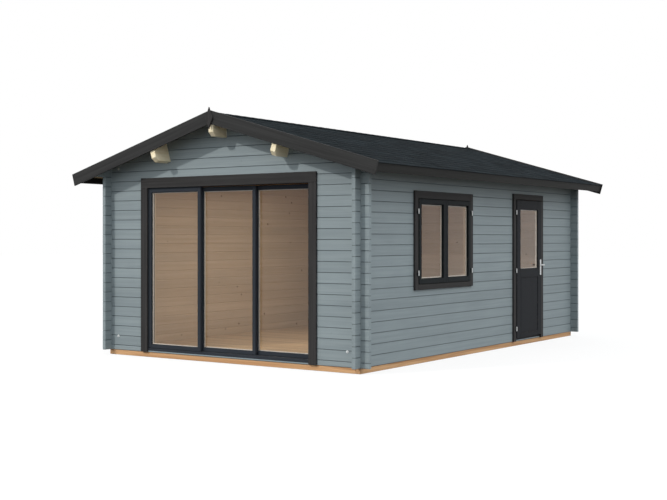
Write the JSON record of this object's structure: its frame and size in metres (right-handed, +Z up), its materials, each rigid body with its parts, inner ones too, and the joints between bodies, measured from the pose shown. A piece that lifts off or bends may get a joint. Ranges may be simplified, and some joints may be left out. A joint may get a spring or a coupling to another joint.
{
  "type": "log garden house",
  "caption": "Log garden house with a shallow gable roof, a sliding glass door in the front gable, a double window and a half-glazed door in the right wall.",
  "frame": {"origin": "centre of the footprint on the ground", "axes": "+Z up, front gable faces -Y, window and hinged door face +X, ridge along Y"},
  "size_m": [4.331, 6.036, 2.816],
  "materials": {
    "gable_paint": "blue-grey opaque wood paint",
    "side_paint": "blue-grey opaque wood paint",
    "trim_paint": "anthracite opaque wood paint",
    "frame_paint": "anthracite satin paint",
    "patio_paint": "dark blue-grey satin paint",
    "raw_pine": "untreated planed pine",
    "floor_wood": "untreated planed pine",
    "impregnated_wood": "brown pressure-impregnated pine",
    "bitumen": "dark granulated bitumen shingles",
    "clear_glass": "clear",
    "satin_steel": "satin"
  },
  "bodies": {
    "house": {"side_base_beams": "impregnated_wood", "end_base_beams": "impregnated_wood", "floor_joists": "impregnated_wood", "floor": "floor_wood", "front_wall_left": "gable_paint", "front_wall_right": "gable_paint", "front_gable": "gable_paint", "door_sill_logs": "side_paint", "rear_wall": "gable_paint", "left_wall": "side_paint", "right_wall_low": "side_paint", "right_wall_front": "side_paint", "right_wall_middle": "side_paint", "right_wall_rear": "side_paint", "right_lintel_log": "side_paint", "right_wall_high": "side_paint", "eaves_logs": "side_paint", "ridge_purlin": "raw_pine", "side_purlins": "raw_pine", "roof_boards_left": "raw_pine", "roof_boards_right": "raw_pine", "roofing_left": "bitumen", "roofing_right": "bitumen", "ridge_cap": "bitumen", "barge_boards_left": "trim_paint", "barge_boards_right": "trim_paint", "finials": "trim_paint", "eaves_fascias": "trim_paint", "patio_side_trims": "trim_paint", "patio_top_trim": "trim_paint", "patio_jambs": "patio_paint", "patio_head": "patio_paint", "patio_sill": "patio_paint", "patio_panel_left": "patio_paint", "patio_glass_left": "clear_glass", "window_side_trims": "trim_paint", "window_cross_trims": "trim_paint", "window_frame": "frame_paint", "window_sashes": "frame_paint", "window_glass": "clear_glass", "window_hinges": "satin_steel", "door_side_trims": "trim_paint", "door_top_trim": "trim_paint", "door_jambs": "frame_paint", "door_head": "frame_paint", "door_threshold": "frame_paint", "door_hinge_feet": "satin_steel"},
    "patio_middle": {"patio_panel_middle": "patio_paint", "patio_glass_middle": "clear_glass"},
    "patio_right": {"patio_panel_right": "patio_paint", "patio_glass_right": "clear_glass"},
    "side_door": {"side_door_leaf": "frame_paint", "side_door_glass": "clear_glass", "side_door_handle": "satin_steel", "side_door_hinges": "satin_steel"}
  },
  "joints": [
    {"name": "patio_middle_slide", "type": "slide", "parent": "house", "child": "patio_middle", "axis": [-1, 0, 0], "range_m": [0, 0.75]},
    {"name": "patio_right_slide", "type": "slide", "parent": "house", "child": "patio_right", "axis": [-1, 0, 0], "range_m": [0, 1.5]},
    {"name": "side_door_hinge", "type": "hinge", "parent": "house", "child": "side_door", "pos_m": [1.838, 0.852, 1], "axis": [0, 0, -1], "range_deg": [0, 150]}
  ]
}
